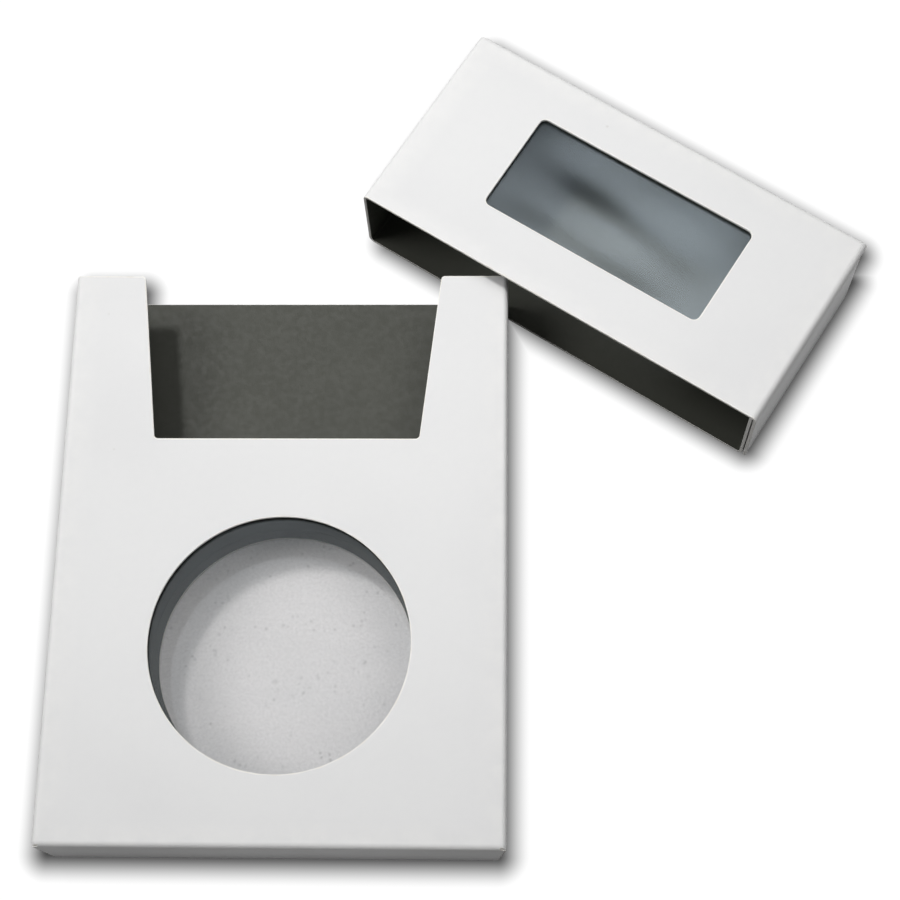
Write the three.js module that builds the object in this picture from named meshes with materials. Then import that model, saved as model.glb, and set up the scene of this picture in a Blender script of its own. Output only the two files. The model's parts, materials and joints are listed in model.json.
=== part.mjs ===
// A two-part paperboard box for a graded coin slab: a long base, and a short cap that pushes over its mouth.
// Both are folded cartons, closed at one end by overlapped flaps and open at the other. The cap is off and
// lies turned beside the base, with the base's corner resting just inside the cap's mouth.
//
// Lengths are in millimetres and +Z is up. Each carton is drawn lying on its back panel with its closed end
// at y = 0 and its mouth at +y, and is then put in its place by groups.

import * as THREE from 'three';

// The board, and the spaces between boards that lie on each other or meet at a crease
const boardThickness = 0.45;
const layerGap = 0.3;
const seamGap = 0.16;
const glueThickness = 0.1;

// Base, outside
const baseWidth = 62.0;
const baseLength = 81.3;
const baseThickness = 10.5;

// The base's finger notch: two ears stand on either side of it, and its sides slope inward to its floor
const notchBridge = 11.45;
const foldSideEarWidth = 9.9;
const seamSideEarWidth = 9.5;
const notchSlope = 2.8;
const notchCornerRadius = 0.6;
const earCornerRadius = 0.55;

// The base's round windows, one in the front panel and one in line with it in the back panel
const roundWindowDiameter = 35.5;
const roundWindowEndMargin = 9.55;
const roundWindowShift = 0.35;

// The cap's play over the base, and its depth from mouth to closed end
const capSidePlay = 2.1;
const capFacePlay = 2.9;
const capDepth = 31.8;

// The cap's rectangular window, set by the board that is left round it
const capWindowMouthMargin = 8.3;
const capWindowEndMargin = 7.3;
const capWindowFoldSideMargin = 15.25;
const capWindowSeamSideMargin = 14.45;
const capWindowCornerRadius = 1.0;

// The clear films, one behind the cap's window and one behind each of the base's, and their glue frames
const filmThickness = 0.2;
const filmMargin = 4.0;
const filmGlueEdgeInset = 0.6;
const filmGlueWindowInset = 1.2;

// The glued side: its wall hangs outside and stops short of the surface that the carton lies on. The glue
// flap inside it is free along its upper edge, and its closed end is cut on a slant.
const seamWallLift = 0.35;
const seamFlapDrop = 0.2;
const seamFlapSlant = 4.5;

// Flaps at the closed end
const dustFlapReach = 12.0;
const dustFlapTaper = 1.6;
const innerFlapSideClearance = 1.2;
const outerFlapSideClearance = 0.15;
const endFlapTaper = 1.0;
const outerFlapLift = 0.35;
const flapEdgeClearance = 0.5;

// Glue lines stop short of the edges of what they join
const seamGlueEdgeInset = 1.6;
const seamGlueEndInset = 6.0;
const endGlueEdgeInset = 2.2;
const endGlueSideInset = 9.0;

// Where the cap lies: its turn, and where the base's corner stands from the middle of its mouth
const capTurnDegrees = -32.2;
const cornerAcrossMouth = -8.8;
const cornerIntoMouth = 1.6;

// Fineness of round edges
const circleSteps = 72;
const cornerSteps = 5;

// The cap's outside sizes follow the base that it has to pass over
const capWidth = baseWidth + 2 * boardThickness + capSidePlay;
const capThickness = baseThickness + 2 * boardThickness + capFacePlay;

const whiteBoard = { color: 0xebebea, roughness: 0.38, metalness: 0 };
const clearGlue = { color: 0xe6dfc4, roughness: 0.5, metalness: 0 };
const clearFilm = { color: 0xb9c2c8, roughness: 0.08, metalness: 0, transparent: true, opacity: 0.3 };

// Points along an arc, its two ends included
function arcPoints(centre, radius, startAngle, sweep, steps) {
  const points = [];
  for (let i = 0; i <= steps; i += 1) {
    const angle = startAngle + (sweep * i) / steps;
    const x = centre.x + radius * Math.cos(angle);
    const y = centre.y + radius * Math.sin(angle);
    points.push(new THREE.Vector2(x, y));
  }
  return points;
}

// The points that take the place of one corner once it is rounded
function roundedCorner(before, corner, after, radius) {
  const inward = before.clone().sub(corner).normalize();
  const outward = after.clone().sub(corner).normalize();
  const halfAngle = Math.acos(inward.dot(outward)) / 2;
  const middle = inward.clone().add(outward).normalize();
  const centre = corner.clone().addScaledVector(middle, radius / Math.sin(halfAngle));
  const reach = radius / Math.tan(halfAngle);
  const start = corner.clone().addScaledVector(inward, reach).sub(centre);
  const end = corner.clone().addScaledVector(outward, reach).sub(centre);
  const sweep = Math.atan2(start.cross(end), start.dot(end));
  return arcPoints(centre, radius, Math.atan2(start.y, start.x), sweep, cornerSteps);
}

// An outline from corners written as [x, y] or, where the corner is round, [x, y, radius]
function outlinePoints(corners) {
  const places = corners.map(([x, y]) => new THREE.Vector2(x, y));
  const count = corners.length;
  return corners.flatMap(([, , radius], i) => {
    const before = places[(i + count - 1) % count];
    const after = places[(i + 1) % count];
    return radius ? roundedCorner(before, places[i], after, radius) : [places[i]];
  });
}

function rectangleCorners(left, right, low, high, radius = 0) {
  return [
    [left, low, radius],
    [right, low, radius],
    [right, high, radius],
    [left, high, radius],
  ];
}

function boardShape(corners, holes = []) {
  const shape = new THREE.Shape(outlinePoints(corners));
  holes.forEach((points) => shape.holes.push(new THREE.Path(points)));
  return shape;
}

// A sheet of even thickness cut to a shape that is drawn in x and y, standing on z = 0
function sheet(name, shape, thickness, finish) {
  const geometry = new THREE.ExtrudeGeometry(shape, { depth: thickness, bevelEnabled: false });
  const mesh = new THREE.Mesh(geometry, new THREE.MeshStandardMaterial(finish));
  mesh.name = name;
  return mesh;
}

// A sheet that lies flat, with its underside at the given height
function lyingSheet(name, shape, height, thickness, finish = whiteBoard) {
  const mesh = sheet(name, shape, thickness, finish);
  mesh.position.z = height;
  return mesh;
}

// A sheet that stands along the carton: the shape's x runs along y, and its y runs up
function sideSheet(name, shape, lowX, thickness, finish = whiteBoard) {
  const mesh = sheet(name, shape, thickness, finish);
  mesh.rotation.set(Math.PI / 2, 0, Math.PI / 2, 'ZYX');
  mesh.position.x = lowX;
  return mesh;
}

// A sheet that stands across the carton: the shape's x runs along x, and its y runs up
function endSheet(name, shape, lowY, thickness, finish = whiteBoard) {
  const mesh = sheet(name, shape, thickness, finish);
  mesh.rotation.x = Math.PI / 2;
  mesh.position.y = lowY + thickness;
  return mesh;
}

// The levels at which a carton's boards lie. seamSide is 1 where the glued side is at +x, or else -1.
function cartonLevels({ width, depth, thickness, seamSide }) {
  const step = boardThickness + layerGap;
  const seamStep = boardThickness + seamGap;
  return {
    depth,
    thickness,
    seamSide,
    foldFace: (-seamSide * width) / 2,
    seamFace: (seamSide * width) / 2,
    seamFlapFace: seamSide * (width / 2 - seamStep),
    innerFlapStart: step,
    dustFlapStart: 2 * step,
    wallLow: step,
    wallHigh: thickness - step,
    frontUnderside: thickness - boardThickness,
  };
}

// Two numbers in rising order
function ordered(a, b) {
  return [Math.min(a, b), Math.max(a, b)];
}

// Low x of a sheet whose outer face is at the given x, on a side that faces along the given direction
function lowSide(outerFace, direction) {
  return direction > 0 ? outerFace - boardThickness : outerFace;
}

function sideWalls(prefix, levels) {
  const { depth, seamSide, foldFace, seamFace, dustFlapStart, wallLow, wallHigh } = levels;
  const foldWall = boardShape(rectangleCorners(dustFlapStart, depth, wallLow, wallHigh));
  const seamWall = boardShape(rectangleCorners(dustFlapStart, depth, seamWallLift, wallHigh));
  return [
    sideSheet(`${prefix}_fold_side_wall`, foldWall, lowSide(foldFace, -seamSide), boardThickness),
    sideSheet(`${prefix}_seam_side_wall`, seamWall, lowSide(seamFace, seamSide), boardThickness),
  ];
}

// The glue flap that rises from the back panel inside the seam side's wall, clear of the dust flap
function seamFlap(prefix, levels) {
  const { depth, seamSide, seamFlapFace, dustFlapStart, wallLow, wallHigh } = levels;
  const start = dustFlapStart + boardThickness + layerGap;
  const high = wallHigh - seamFlapDrop;
  const shape = boardShape([
    [start, wallLow],
    [depth, wallLow],
    [depth, high],
    [start + seamFlapSlant, high],
  ]);
  return sideSheet(`${prefix}_seam_flap`, shape, lowSide(seamFlapFace, seamSide), boardThickness);
}

function seamGlue(prefix, levels) {
  const { depth, seamSide, seamFlapFace, dustFlapStart, wallLow, wallHigh } = levels;
  const start = dustFlapStart + seamGlueEndInset;
  const end = depth - seamGlueEndInset;
  const low = wallLow + seamGlueEdgeInset;
  const high = wallHigh - seamGlueEdgeInset;
  const shape = boardShape(rectangleCorners(start, end, low, high));
  const middle = seamFlapFace + (seamSide * seamGap) / 2;
  return sideSheet(`${prefix}_seam_glue`, shape, middle - glueThickness / 2, glueThickness, clearGlue);
}

// One short flap, folded in from a wall whose inner face is given; direction points away from that wall
function dustFlap(name, wallInnerFace, direction, levels) {
  const crease = wallInnerFace + direction * layerGap;
  const tip = crease + direction * dustFlapReach;
  const low = levels.wallLow;
  const high = levels.wallHigh - flapEdgeClearance;
  const shape = boardShape([
    [crease, low],
    [tip, low + dustFlapTaper],
    [tip, high - dustFlapTaper],
    [crease, high],
  ]);
  return endSheet(name, shape, levels.dustFlapStart, boardThickness);
}

function dustFlaps(prefix, levels) {
  const { foldFace, seamFace, seamSide } = levels;
  const foldInner = foldFace + seamSide * boardThickness;
  const seamInner = seamFace - seamSide * boardThickness;
  return [
    dustFlap(`${prefix}_fold_side_dust_flap`, foldInner, seamSide, levels),
    dustFlap(`${prefix}_seam_side_dust_flap`, seamInner, -seamSide, levels),
  ];
}

// The closing flap that folds up from the back panel, inside the outer one
function innerEndFlap(prefix, levels) {
  const [left, right] = ordered(levels.foldFace, levels.seamFlapFace);
  const low = levels.wallLow;
  const high = levels.wallHigh - flapEdgeClearance;
  const creaseInset = innerFlapSideClearance;
  const edgeInset = innerFlapSideClearance + endFlapTaper;
  const shape = boardShape([
    [left + creaseInset, low],
    [right - creaseInset, low],
    [right - edgeInset, high],
    [left + edgeInset, high],
  ]);
  return endSheet(`${prefix}_inner_end_flap`, shape, levels.innerFlapStart, boardThickness);
}

// The closing flap that folds down from the front panel and covers the whole end
function outerEndFlap(prefix, levels) {
  const [left, right] = ordered(levels.foldFace, levels.seamFace);
  const edgeInset = outerFlapSideClearance + endFlapTaper;
  const shape = boardShape([
    [left + edgeInset, outerFlapLift],
    [right - edgeInset, outerFlapLift],
    [right - outerFlapSideClearance, levels.wallHigh],
    [left + outerFlapSideClearance, levels.wallHigh],
  ]);
  return endSheet(`${prefix}_outer_end_flap`, shape, 0, boardThickness);
}

function endGlue(prefix, levels) {
  const [outerLeft, outerRight] = ordered(levels.foldFace, levels.seamFlapFace);
  const left = outerLeft + endGlueSideInset;
  const right = outerRight - endGlueSideInset;
  const low = levels.wallLow + endGlueEdgeInset;
  const high = levels.wallHigh - endGlueEdgeInset;
  const shape = boardShape(rectangleCorners(left, right, low, high));
  const middle = boardThickness + layerGap / 2;
  return endSheet(`${prefix}_end_glue`, shape, middle - glueThickness / 2, glueThickness, clearGlue);
}

// Everything but the front and back panels, which differ between the base and the cap
function sleeveAndClosedEnd(prefix, levels) {
  return [
    ...sideWalls(prefix, levels),
    seamFlap(prefix, levels),
    seamGlue(prefix, levels),
    ...dustFlaps(prefix, levels),
    innerEndFlap(prefix, levels),
    outerEndFlap(prefix, levels),
    endGlue(prefix, levels),
  ];
}

// A rectangle as [left, right, low, high], grown by a margin on every side
function grown([left, right, low, high], margin) {
  return [left - margin, right + margin, low - margin, high + margin];
}

// Film behind a window whose edges are given. It lies one gap inside the panel's inner face, and inward
// is -1 where that face looks down and 1 where it looks up.
function windowFilm(name, edges, innerFace, inward) {
  const shape = boardShape(rectangleCorners(...grown(edges, filmMargin)));
  const nearFace = innerFace + inward * layerGap;
  const height = inward < 0 ? nearFace - filmThickness : nearFace;
  return lyingSheet(name, shape, height, filmThickness, clearFilm);
}

// Glue frame in the middle of that gap, open over the window
function filmGlue(name, edges, opening, innerFace, inward) {
  const shape = boardShape(rectangleCorners(...grown(edges, filmMargin - filmGlueEdgeInset)), [opening]);
  const middle = innerFace + (inward * layerGap) / 2;
  return lyingSheet(name, shape, middle - glueThickness / 2, glueThickness, clearGlue);
}

// The round window, or with a margin a circle that stands out from it
function roundWindow(margin = 0) {
  const radius = roundWindowDiameter / 2;
  const centre = new THREE.Vector2(roundWindowShift, roundWindowEndMargin + radius);
  return arcPoints(centre, radius + margin, 0, 2 * Math.PI, circleSteps).slice(1);
}

// Films behind both round windows, with their glue frames
function baseFilms(levels) {
  const radius = roundWindowDiameter / 2;
  const edges = [
    roundWindowShift - radius,
    roundWindowShift + radius,
    roundWindowEndMargin,
    roundWindowEndMargin + roundWindowDiameter,
  ];
  const opening = roundWindow(filmGlueWindowInset);
  return [
    windowFilm('base_front_window_film', edges, levels.frontUnderside, -1),
    filmGlue('base_front_film_glue', edges, opening, levels.frontUnderside, -1),
    windowFilm('base_back_window_film', edges, boardThickness, 1),
    filmGlue('base_back_film_glue', edges, opening, boardThickness, 1),
  ];
}

// The face of the base, with the notch cut into its mouth edge
function baseFrontPanel(levels) {
  const { depth, foldFace, seamFace, frontUnderside } = levels;
  const floor = roundWindowEndMargin + roundWindowDiameter + notchBridge;
  const notchLeft = foldFace + foldSideEarWidth;
  const notchRight = seamFace - seamSideEarWidth;
  const shape = boardShape(
    [
      [foldFace, 0],
      [seamFace, 0],
      [seamFace, depth],
      [notchRight, depth, earCornerRadius],
      [notchRight - notchSlope, floor, notchCornerRadius],
      [notchLeft + notchSlope, floor, notchCornerRadius],
      [notchLeft, depth, earCornerRadius],
      [foldFace, depth],
    ],
    [roundWindow()],
  );
  return lyingSheet('base_front_panel', shape, frontUnderside, boardThickness);
}

function baseBackPanel(levels) {
  const { depth, foldFace, seamFlapFace, innerFlapStart } = levels;
  const shape = boardShape(rectangleCorners(foldFace, seamFlapFace, innerFlapStart, depth), [roundWindow()]);
  return lyingSheet('base_back_panel', shape, 0, boardThickness);
}

function makeBase() {
  const levels = cartonLevels({
    width: baseWidth,
    depth: baseLength,
    thickness: baseThickness,
    seamSide: 1,
  });
  const base = new THREE.Group();
  base.add(
    baseFrontPanel(levels),
    baseBackPanel(levels),
    ...baseFilms(levels),
    ...sleeveAndClosedEnd('base', levels),
  );
  return base;
}

// The four edges of the cap's window: left, right, towards the closed end, towards the mouth
function capWindowEdges({ depth, foldFace, seamFace }) {
  return [
    seamFace + capWindowSeamSideMargin,
    foldFace - capWindowFoldSideMargin,
    capWindowEndMargin,
    depth - capWindowMouthMargin,
  ];
}

function capFrontPanel(levels) {
  const { depth, foldFace, seamFace, frontUnderside } = levels;
  const window = outlinePoints(rectangleCorners(...capWindowEdges(levels), capWindowCornerRadius));
  const shape = boardShape(rectangleCorners(seamFace, foldFace, 0, depth), [window]);
  return lyingSheet('cap_front_panel', shape, frontUnderside, boardThickness);
}

function capBackPanel(levels) {
  const { depth, foldFace, seamFlapFace, innerFlapStart } = levels;
  const shape = boardShape(rectangleCorners(seamFlapFace, foldFace, innerFlapStart, depth));
  return lyingSheet('cap_back_panel', shape, 0, boardThickness);
}

// The film behind the cap's window, with its glue frame
function capFilm(levels) {
  const edges = capWindowEdges(levels);
  const opening = outlinePoints(rectangleCorners(...grown(edges, filmGlueWindowInset)));
  return [
    windowFilm('cap_window_film', edges, levels.frontUnderside, -1),
    filmGlue('cap_film_glue', edges, opening, levels.frontUnderside, -1),
  ];
}

function makeCap() {
  const levels = cartonLevels({
    width: capWidth,
    depth: capDepth,
    thickness: capThickness,
    seamSide: -1,
  });
  const cap = new THREE.Group();
  cap.add(
    capFrontPanel(levels),
    capBackPanel(levels),
    ...capFilm(levels),
    ...sleeveAndClosedEnd('cap', levels),
  );
  return cap;
}

// The cap is drawn with its mouth at +y, so it turns half round to open towards the base, then turns on
function placeCap(cap) {
  const turn = THREE.MathUtils.degToRad(capTurnDegrees);
  cap.rotation.z = Math.PI;
  cap.position.y = capDepth;
  const place = new THREE.Group();
  const cornerFromMouthMiddle = new THREE.Vector2(cornerAcrossMouth, cornerIntoMouth);
  cornerFromMouthMiddle.rotateAround(new THREE.Vector2(), turn);
  place.position.set(baseWidth / 2 - cornerFromMouthMiddle.x, baseLength - cornerFromMouthMiddle.y, 0);
  place.rotation.z = turn;
  place.add(cap);
  return place;
}

// The base's mouth end lies on the cap's back panel, so the base leans up by a fraction of a degree
function placeBase(base) {
  const turn = THREE.MathUtils.degToRad(capTurnDegrees);
  const supportFromEnd = baseLength - cornerIntoMouth / Math.cos(turn);
  base.rotation.x = Math.asin((boardThickness + layerGap) / supportFromEnd);
  return base;
}

const box = new THREE.Group();
box.add(placeBase(makeBase()), placeCap(makeCap()));

// The origin is the middle of the whole set, on the surface that it lies on
const bounds = new THREE.Box3().setFromObject(box, true);
const middle = bounds.getCenter(new THREE.Vector3());
box.position.set(-middle.x, -middle.y, -bounds.min.z);

export default box;
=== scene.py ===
"""A two-part paperboard box for a graded coin slab, lying open on a white surface.

Each carton is one die-cut blank of coated board, printed dark on the inside. The blank is drawn flat, with its
windows, notch and flaps, and every point is then carried round the creases, so the board stays one sheet with
two skins and raw cut edges. The base lies with its mouth end on the cap's back panel. The cap is pulled off and
lies turned beside it.

Lengths of the board are in millimetres in a carton's own place: x across, y from the closed end to the mouth and
z up from the back panel. A Place carries them to metres in the frame.
"""

import json
import logging
import math
from collections import Counter
from collections.abc import Iterable, Sequence
from dataclasses import dataclass
from enum import Enum

import bpy
import numpy as np
from mathutils import Euler, Matrix, Vector
from mathutils.geometry import delaunay_2d_cdt


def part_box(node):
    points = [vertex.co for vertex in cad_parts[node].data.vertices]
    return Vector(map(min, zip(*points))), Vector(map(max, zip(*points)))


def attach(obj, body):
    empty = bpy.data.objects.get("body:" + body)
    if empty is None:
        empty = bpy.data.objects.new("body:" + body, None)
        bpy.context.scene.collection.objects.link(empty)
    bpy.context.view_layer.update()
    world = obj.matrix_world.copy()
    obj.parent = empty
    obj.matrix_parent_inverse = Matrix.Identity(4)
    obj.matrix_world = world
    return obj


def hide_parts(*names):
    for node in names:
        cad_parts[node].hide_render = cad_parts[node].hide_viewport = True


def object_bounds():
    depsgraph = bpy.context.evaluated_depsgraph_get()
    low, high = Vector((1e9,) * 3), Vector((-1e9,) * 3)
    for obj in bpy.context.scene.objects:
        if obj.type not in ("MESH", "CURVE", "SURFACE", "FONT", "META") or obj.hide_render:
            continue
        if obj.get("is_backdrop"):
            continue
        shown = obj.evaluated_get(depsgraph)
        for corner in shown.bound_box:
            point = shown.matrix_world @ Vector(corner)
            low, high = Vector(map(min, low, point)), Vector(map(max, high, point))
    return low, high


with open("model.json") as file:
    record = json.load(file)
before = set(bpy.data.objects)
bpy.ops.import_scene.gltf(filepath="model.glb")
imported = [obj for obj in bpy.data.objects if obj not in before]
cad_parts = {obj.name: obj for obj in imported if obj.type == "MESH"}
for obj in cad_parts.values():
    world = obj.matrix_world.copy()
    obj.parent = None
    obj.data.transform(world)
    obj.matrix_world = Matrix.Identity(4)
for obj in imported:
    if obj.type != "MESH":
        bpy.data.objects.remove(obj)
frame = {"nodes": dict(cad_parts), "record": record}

log = logging.getLogger("slab_box")

MM = 0.001
BOARD_PARTS = (
    "front_panel",
    "back_panel",
    "fold_side_wall",
    "seam_side_wall",
    "seam_flap",
    "fold_side_dust_flap",
    "seam_side_dust_flap",
    "inner_end_flap",
    "outer_end_flap",
)

FlatPoint = tuple[float, float]
Corner = tuple[float, float, float]
WindowSides = tuple[float, float, float, float]
Span = tuple[FlatPoint, FlatPoint]
Face = tuple[int, ...]
Pair = tuple[float, float]
Point = tuple[float, float, float]
Colour = tuple[float, float, float, float]
Socket = bpy.types.NodeSocket


class BoardSlot(Enum):
    """Which finish a face of a folded board takes, by its place in the mesh's list of materials."""

    COATED = 0
    PRINTED = 1
    CUT = 2


class LegName(Enum):
    """The straight runs of board round a carton, in the order in which the board follows them."""

    SEAM_FLAP = 0
    BACK = 1
    FOLD_WALL = 2
    FRONT = 3
    SEAM_WALL = 4


@dataclass(frozen=True)
class CartonSizes:
    """Outside sizes of one carton and of its board, in millimetres."""

    width: float
    depth: float
    thickness: float
    mirrored: bool
    board: float = 0.45
    layer_step: float = 0.75
    seam_step: float = 0.62
    crease_radius: float = 0.8
    seam_wall_lift: float = 0.35
    seam_flap_drop: float = 0.15
    seam_flap_slant: float = 4.5
    dust_flap_reach: float = 11.0
    end_flap_taper: float = 1.0

    @property
    def seam_flap_face(self) -> float:
        """Outer face of the seam flap, which the seam wall covers."""
        return self.width / 2 - self.seam_step

    @property
    def seam_flap_top(self) -> float:
        """Height of the seam flap's free edge, just under the front panel."""
        return self.thickness - self.board - self.seam_flap_drop

    @property
    def dust_face(self) -> float:
        """Outer face of the dust flaps, which lie behind both end flaps."""
        return 2 * self.layer_step

    @property
    def bend_length(self) -> float:
        """Length of board in a square fold, measured in the middle of the board."""
        return (self.crease_radius - self.board / 2) * math.pi / 2


@dataclass(frozen=True)
class Leg:
    """One straight run of the section: where it starts along the board and in the section, and its heading."""

    start: float
    length: float
    x: float
    z: float
    heading: FlatPoint

    @property
    def end(self) -> float:
        """Distance along the board at which the run ends."""
        return self.start + self.length

    @property
    def normal(self) -> FlatPoint:
        """Direction that points out of the carton."""
        return (-self.heading[1], self.heading[0])

    def along(self, x: float, z: float) -> float:
        """Distance along the board of a place in the section that lies on this run."""
        return self.start + (x - self.x) * self.heading[0] + (z - self.z) * self.heading[1]

    def at(self, along: float) -> Vector:
        """Place in the section at a distance along the board, on the run's own line past its ends too."""
        travelled = along - self.start
        return Vector((self.x + self.heading[0] * travelled, self.z + self.heading[1] * travelled))


class Section:
    """The line that the board follows across a carton, from the seam flap's free edge to the seam wall's."""

    def __init__(self, sizes: CartonSizes) -> None:
        """Lay out the five runs and the folds between them.

        Args:
            sizes: the carton's sizes.
        """
        self.sizes = sizes
        radius = sizes.crease_radius
        top = sizes.thickness
        half = sizes.width / 2
        heights = top - 2 * radius
        lengths = [
            sizes.seam_flap_top - radius,
            sizes.width - sizes.seam_step - 2 * radius,
            heights,
            sizes.width - 2 * radius,
            top - radius - sizes.seam_wall_lift,
        ]
        starts = [
            (sizes.seam_flap_face, sizes.seam_flap_top),
            (sizes.seam_flap_face - radius, 0.0),
            (-half, radius),
            (-half + radius, top),
            (half, top - radius),
        ]
        headings = [(0.0, -1.0), (-1.0, 0.0), (0.0, 1.0), (1.0, 0.0), (0.0, -1.0)]
        self.legs: list[Leg] = []
        along = 0.0
        for length, (x, z), heading in zip(lengths, starts, headings):
            self.legs.append(Leg(along, length, x, z, heading))
            along += length + sizes.bend_length
        self.end = self.legs[-1].end

    def leg(self, name: LegName) -> Leg:
        """The run with the given name."""
        return self.legs[name.value]

    def at(self, along: float) -> tuple[Vector, Vector]:
        """Find a place on the outside of the board.

        Args:
            along: distance along the board from the seam flap's free edge.

        Returns:
            The place and the outward direction, each with its x and z.
        """
        index = max(i for i, leg in enumerate(self.legs) if i == 0 or along >= leg.start)
        leg = self.legs[index]
        normal = Vector(leg.normal)
        if along <= leg.end or index == len(self.legs) - 1:
            return leg.at(along), normal
        radius = self.sizes.crease_radius
        centre = leg.at(leg.end) - normal * radius
        angle = (along - leg.end) / (radius - self.sizes.board / 2)
        cosine, sine = math.cos(angle), math.sin(angle)
        turned = Vector((normal.x * cosine + normal.y * sine, -normal.x * sine + normal.y * cosine))
        return centre + turned * radius, turned


@dataclass(frozen=True)
class Flap:
    """A flap beyond the crease at a carton's closed end."""

    leg: Leg
    face: float
    low: float
    high: float
    reach: float
    taper: float
    angle: float = math.pi / 2
    spread: float = 0.0
    tip_radius: float = 0.8

    NARROW_SHARE = 0.2
    WIDENING = 0.1
    ROUNDING = 0.01
    CORNER_HEIGHT = 0.1

    def bend_start(self, sizes: CartonSizes) -> float:
        """Height along the carton at which the board starts to fold."""
        return self.face + sizes.crease_radius

    def corners(self, sizes: CartonSizes) -> list[Corner]:
        """Outline of the flap on the flat blank.

        A flap with a spread widens once it is most of the way round its fold.

        Args:
            sizes: sizes of the carton that the flap belongs to.

        Returns:
            Its corners, from the flap's high side round its tip to its low side.
        """
        start = self.bend_start(sizes)
        folded = start - sizes.bend_length * self.angle / (math.pi / 2)
        tip = folded - self.reach
        narrow = folded + self.NARROW_SHARE * sizes.bend_length
        wide = folded - self.WIDENING
        return [
            (self.high, start, 0.0),
            (self.high, narrow, 0.0),
            (self.high + self.spread, wide, 0.0),
            (self.high + self.spread - self.taper, tip, self.tip_radius),
            (self.low - self.spread + self.taper, tip, self.tip_radius),
            (self.low - self.spread, wide, 0.0),
            (self.low, narrow, 0.0),
            (self.low, start, 0.0),
        ]

    def holds(self, sizes: CartonSizes, along: float, y: float) -> bool:
        """Tell whether a place on the blank belongs to the flap or to its fold.

        Args:
            sizes: sizes of the carton that the flap belongs to.
            along: distance along the board across the carton.
            y: height along the carton.

        Returns:
            True for a place past the start of the fold.
        """
        if self.leg.start <= along <= self.leg.end:
            return y < self.bend_start(sizes)
        beside = max(self.leg.start - along, along - self.leg.end)
        return beside <= self.spread + self.ROUNDING and y < self.face + self.CORNER_HEIGHT


@dataclass(frozen=True)
class Bow:
    """How far a panel stands out of its plane once it is folded, in millimetres, and how high its ripple is."""

    leg: LegName
    height: float
    mouth_height: float
    wave: float = 0.03


@dataclass
class FlatBoard:
    """The blank as flat triangles, with the edges that were cut."""

    points: np.ndarray
    triangles: np.ndarray
    cut_edges: list[tuple[int, int]]


def arc(centre: FlatPoint, radius: float, start: float, sweep: float, steps: int) -> list[FlatPoint]:
    """Give points along an arc, both its ends included.

    Args:
        centre: middle of the arc.
        radius: its radius.
        start: angle of the first point.
        sweep: angle from the first point to the last.
        steps: number of equal steps.

    Returns:
        The points in order.
    """
    angles = [start + sweep * i / steps for i in range(steps + 1)]
    return [(centre[0] + radius * math.cos(a), centre[1] + radius * math.sin(a)) for a in angles]


def rounded(before: Vector, corner: Vector, after: Vector, radius: float) -> list[FlatPoint]:
    """Give the points that take the place of a corner once it is rounded.

    Args:
        before: the corner before it.
        corner: the corner itself.
        after: the corner after it.
        radius: radius of the rounding.

    Returns:
        Points from one side of the corner to the other.
    """
    inward = (before - corner).normalized()
    outward = (after - corner).normalized()
    half = inward.angle(outward) / 2
    centre = corner + (inward + outward).normalized() * (radius / math.sin(half))
    reach = radius / math.tan(half)
    start = corner + inward * reach - centre
    end = corner + outward * reach - centre
    sweep = math.atan2(start.x * end.y - start.y * end.x, start.dot(end))
    return arc((centre.x, centre.y), radius, math.atan2(start.y, start.x), sweep, 7)


def outline(corners: Sequence[Corner]) -> list[FlatPoint]:
    """Turn corners, some of them with a radius, into the points of a closed outline.

    Args:
        corners: x, y and radius of each corner.

    Returns:
        The outline's points.
    """
    places = [Vector(corner[:2]) for corner in corners]
    points: list[FlatPoint] = []
    for i, (x, y, radius) in enumerate(corners):
        if radius:
            points.extend(rounded(places[i - 1], places[i], places[(i + 1) % len(places)], radius))
        else:
            points.append((x, y))
    return points


def inside(points: np.ndarray, loop: Sequence[FlatPoint]) -> np.ndarray:
    """Test which points lie inside a closed outline.

    Args:
        points: places, one to a row.
        loop: the outline.

    Returns:
        True for each place inside.
    """
    x, y = points[:, 0], points[:, 1]
    result = np.zeros(len(points), dtype=bool)
    for (x0, y0), (x1, y1) in zip(loop, [*loop[1:], loop[0]]):
        if y0 == y1:
            continue
        crosses = (y0 > y) != (y1 > y)
        result ^= crosses & (x < (x1 - x0) * (y - y0) / (y1 - y0) + x0)
    return result


def distance_to(points: np.ndarray, loop: Sequence[FlatPoint]) -> np.ndarray:
    """Measure how far points lie from an outline.

    Args:
        points: places, one to a row.
        loop: the outline.

    Returns:
        The least distance for each place.
    """
    least = np.full(len(points), 1e9)
    for a, b in zip(loop, [*loop[1:], loop[0]]):
        a, b = np.array(a), np.array(b)
        run = b - a
        length = run @ run
        if length == 0:
            continue
        share = np.clip((points - a) @ run / length, 0, 1)
        least = np.minimum(least, np.linalg.norm(points - a - share[:, None] * run, axis=1))
    return least


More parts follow.
